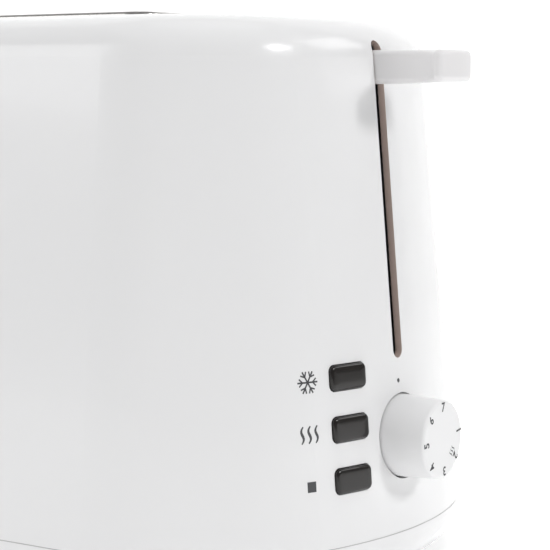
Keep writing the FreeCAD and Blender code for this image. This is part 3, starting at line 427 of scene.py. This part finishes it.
def button_cap(node, body):
    """A crowned glossy cap on its flange and stem, in place of the plain solid; returns its middle."""
    inward = Vector(next(j for j in frame["joints"] if j["child"] == body)["axis"]).normalized()
    out = -inward
    across = UP.cross(out).normalized()
    rise = out.cross(across)
    corners = [v.co for v in nodes[node].data.vertices]
    face = max(corner.dot(out) for corner in corners)
    rim = [corner for corner in corners if corner.dot(out) > face - CAP_SIDE]
    spans = [[pick(corner.dot(axis) for corner in rim) for pick in (min, max)] for axis in (across, rise)]
    middle = across * sum(spans[0]) / 2 + rise * sum(spans[1]) / 2 + out * face
    width, height = spans[0][1] - spans[0][0], spans[1][1] - spans[1][0]

    def ring(inset, level):
        radius = max(CAP_CORNER - inset * CAP_CORNER_SHRINK, CAP_LEAST_CORNER)
        return [middle + across * x + rise * y + out * level
                for x, y in rounded(width - 2 * inset, height - 2 * inset, radius)]
    rings = [ring(-FLANGE_WIDTH, -FLANGE_BASE), ring(-FLANGE_WIDTH, -FLANGE_TOP), ring(0, -FLANGE_TOP)]
    bevel_steps, crown_steps = 8, 5
    for i in range(bevel_steps + 1):
        angle = math.radians(90 * i / bevel_steps)
        rings.append(ring(CAP_BEVEL * (1 - math.cos(angle)), -CAP_BEVEL_DEPTH * (1 - math.sin(angle))))
    for i in range(1, crown_steps + 1):
        share = i / crown_steps
        inset = CAP_BEVEL + (height / 2 - CAP_BEVEL) * CAP_CROWN_REACH * share
        rings.append(ring(inset, CAP_CROWN * (1 - (1 - share) ** 2)))
    bm = bmesh.new()
    loft(bm, rings)
    profile = ((STEM_START, STEM_RADIUS), (STEM_END - STEM_CHAMFER, STEM_RADIUS),
               (STEM_END, STEM_RADIUS - STEM_CHAMFER))
    loft(bm, [[middle - out * depth + (across * x + rise * y) * radius for x, y in circle()]
              for depth, radius in profile])
    cap = add(node + "_cap", finished(bm, node + "_cap"), "black_button", body)
    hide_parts(node)
    return middle


def mark(name, button_middle, away, shape):
    """A printed mark on the wall, to the left of its button."""
    _, chord = facing((END_FACING + MARK_FACING) / 2)
    out, across = facing(MARK_FACING)
    centre = button_middle - chord * away - UP * MARK_DROP

    def place(x, y, lift):
        return on_shell(centre + across * x * MM + UP * y * MM, out, lift)
    bm = bmesh.new()
    shape(bm, place)
    add(name, finished(bm, name), "print_ink", "housing", smooth=False)


def lay_on_knob(bm, turn, radius):
    """Turns a flat mark in mm on to the knob's face, at a turn clockwise from the top."""
    angle = math.radians(turn)
    top = Vector((0, math.sin(angle), math.cos(angle)))
    side = Vector((0, math.cos(angle), -math.sin(angle)))
    centre = Vector((knob_x, 0, knob_z)) + top * radius
    for vert in bm.verts:
        lift = INK_LIFT if vert.co.z > 0 else -INK_DEPTH
        vert.co = centre + side * vert.co.x * MM + top * vert.co.y * MM + Vector((lift, 0, 0))


def dial_turn(number):
    """Where a number stands on the dial, the last one at the top."""
    return 360 - (DIGIT_COUNT - number) * DIGIT_STEP


def dial_numbers():
    """Small numbers near the rim, their tops outward, and a wave mark inside the 2."""
    for number in range(1, DIGIT_COUNT + 1):
        name = f"dial_number_{number}"
        bm = digit(str(number))
        lay_on_knob(bm, dial_turn(number), DIGIT_PLACE * knob_r)
        add(name, finished(bm, name), "dial_ink", "knob", smooth=False)

    def place(x, y, lift):
        return Vector((x * DIAL_MARK_SCALE, y * DIAL_MARK_SCALE, lift))
    bm = bmesh.new()
    heat_waves(bm, place, width=0.85)
    lay_on_knob(bm, dial_turn(2), DIAL_MARK_PLACE * knob_r)
    add("dial_heat_mark", finished(bm, "dial_heat_mark"), "dial_ink", "knob", smooth=False)


def index_dot():
    """The printed dot above the knob that its numbers are set to."""
    out = Vector((1, 0, 0))
    centre = Vector((knob_x, DOT_SIDE, knob_z + DOT_RISE))
    profile = ((DOT_RADIUS, -INK_DEPTH), (DOT_RADIUS, INK_LIFT), (DOT_INNER, INK_LIFT))
    bm = bmesh.new()
    loft(bm, [[on_shell(centre + Vector((0, y, z)) * radius, out, lift) for y, z in circle()]
              for radius, lift in profile])
    add("index_dot", finished(bm, "index_dot"), "print_ink", "housing", smooth=False)


def seam_gap():
    """A thin dark strip all round between the housing and its base: the painted shadow of the seam."""
    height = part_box("housing_shell")[0][2] + SEAM_RISE
    section = ((SEAM_PROUD, 0), (SEAM_PROUD, SEAM_HEIGHT), (-SEAM_DEPTH, SEAM_HEIGHT), (-SEAM_DEPTH, 0))
    rings = []
    for x, y in circle(360):
        out = Vector((x, y, 0))
        surface = on_shell(Vector((0, 0, height)) + out * SEAM_REACH, out, 0)
        rings.append([surface + out * lift + UP * level for lift, level in section])
    bm = bmesh.new()
    loft(bm, rings, closed=True)
    add("seam_gap", finished(bm, "seam_gap"), "seam_shadow", "housing", smooth=False)


# Each button with its body, and the name, distance and shape of the mark beside it.
for node, body, name, away, shape in (
        ("button_defrost", "defrost_button", "snowflake_mark", 17.4 * MM, snowflake),
        ("button_reheat", "reheat_button", "heat_mark", 17.8 * MM, heat_waves),
        ("button_stop", "stop_button", "stop_mark", 18.1 * MM, stop_square)):
    mark(name, button_cap(node, body), away, shape)
dial_numbers()
index_dot()
seam_gap()


# --- Floor, light and camera ------------------------------------------------------------------------

CAMERA_PLACE = (0.4548, -0.5527, 0.1651)
CAMERA_TILT = 84.5
CAMERA_TURN = 33.986
LENS = 124.8
FLOOR_SIDE = 8
FLOOR_GLOW = 0.27
BACKDROP_PLACE = (-0.95, 1.41, 1.45)
BACKDROP_SIZE = (5, 3)
BACKDROP_GLOW = 0.35
ROOM_GLOW = 0.29


def paper(name, glow):
    """Matt white paper that glows a little, so that it stays white away from the lamps."""
    made, _, shader = material(name, (0.9, 0.9, 0.9), 0.9, spec=0.2)
    shader.inputs["Emission Color"].default_value = (1, 1, 1, 1)
    shader.inputs["Emission Strength"].default_value = glow
    return made


def stage():
    """White paper under and behind the toaster, and a pale room round it."""
    bpy.ops.mesh.primitive_plane_add(size=FLOOR_SIDE, location=(0, 0, 0))
    floor = bpy.context.object
    floor.name = "floor"
    floor.data.materials.append(paper("floor_paper", FLOOR_GLOW))
    bpy.ops.mesh.primitive_plane_add(size=1, location=BACKDROP_PLACE)
    backdrop = bpy.context.object
    backdrop.name = "backdrop"
    backdrop.scale = (*BACKDROP_SIZE, 1)
    backdrop.rotation_euler = (math.radians(90), 0, math.radians(CAMERA_TURN))
    backdrop.data.materials.append(paper("backdrop_paper", BACKDROP_GLOW))
    world = bpy.data.worlds.new("studio")
    world.use_nodes = True
    world.node_tree.nodes["Background"].inputs["Color"].default_value = (1, 1, 1, 1)
    world.node_tree.nodes["Background"].inputs["Strength"].default_value = ROOM_GLOW
    scene.world = world


def softbox(name, place, target, size, power, glossy=True, diffuse=True):
    """A rectangular lamp aimed at a point; it can be kept out of reflections or out of the light."""
    lamp = bpy.data.lights.new(name, "AREA")
    lamp.shape = "RECTANGLE"
    lamp.size, lamp.size_y = size
    lamp.energy = power
    obj = bpy.data.objects.new(name, lamp)
    scene.collection.objects.link(obj)
    obj.location = place
    obj.rotation_euler = (Vector(target) - Vector(place)).to_track_quat("-Z", "Y").to_euler()
    obj.visible_glossy = glossy
    obj.visible_diffuse = diffuse


def camera():
    """A long lens from a little above the middle, towards the front and the lever end."""
    lens = bpy.data.cameras.new("camera")
    lens.lens = LENS
    lens.sensor_width = 36
    lens.clip_start = 0.01
    obj = bpy.data.objects.new("camera", lens)
    scene.collection.objects.link(obj)
    obj.location = CAMERA_PLACE
    obj.rotation_euler = (math.radians(CAMERA_TILT), 0, math.radians(CAMERA_TURN))
    scene.camera = obj


stage()
softbox("key", (1.52, 0.16, 0.94), (0.13, 0, 0.12), (0.26, 0.26), 8.6)
softbox("fill", (-1.1, -1.9, 0.9), (0, 0, 0.1), (1.2, 1.2), 14, glossy=False)
softbox("top", (0.05, 0.2, 1.8), (0, 0, 0.15), (1, 1), 17, glossy=False)
softbox("back", (-0.9, 2.0, 0.8), (0, 0, 0.1), (1.2, 1.2), 4, glossy=False)
softbox("front", (0.5, -2.2, 0.6), (0, 0, 0.1), (1.2, 1.2), 3, glossy=False)
softbox("patch", (-1.15, -1.3, 0.76), (0, 0, 0.15), (0.6, 0.8), 2.6, diffuse=False)
softbox("rim", (1.0, 0.9, 0.9), (0.13, 0, 0.06), (0.6, 0.5), 2, diffuse=False)
camera()
scene.view_settings.view_transform = "Standard"
